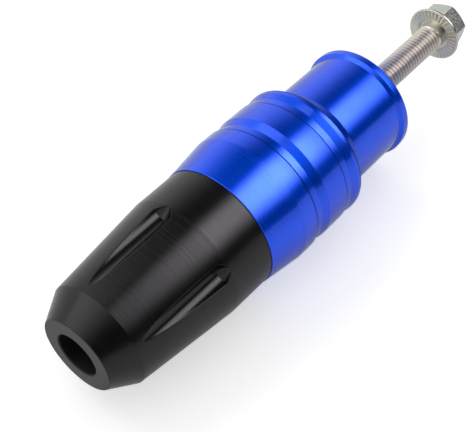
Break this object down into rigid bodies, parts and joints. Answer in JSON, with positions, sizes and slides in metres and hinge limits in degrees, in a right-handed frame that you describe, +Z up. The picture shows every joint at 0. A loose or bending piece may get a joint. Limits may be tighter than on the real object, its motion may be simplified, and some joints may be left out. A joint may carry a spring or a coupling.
{
  "type": "exhaust slider",
  "caption": "Round crash slider for a motorbike exhaust: a blue turned metal base, a black fluted plastic nose and a serrated flange bolt that fixes it to the bracket.",
  "frame": {"origin": "centre of the rear face of the base, where it meets the exhaust bracket", "axes": "+X along the slider's axis towards the nose, +Z up as the slider sticks out level from the bracket"},
  "size_m": [0.1564, 0.0392, 0.0392],
  "materials": {
    "black_plastic": "satin, fine turning lines",
    "blue_anodised": "turned, bright anodised",
    "black_steel": "black oxide",
    "steel": "zinc plated",
    "stainless": "plain stainless"
  },
  "bodies": {
    "slider": {"nose": "black_plastic", "base": "blue_anodised", "nose_screw": "black_steel", "nose_washer": "steel"},
    "bolt": {"flange_bolt": "stainless"}
  },
  "joints": [
    {"name": "bolt_travel", "type": "slide", "parent": "slider", "child": "bolt", "axis": [1, 0, 0], "range_m": [-0.006, 0.0365]}
  ]
}
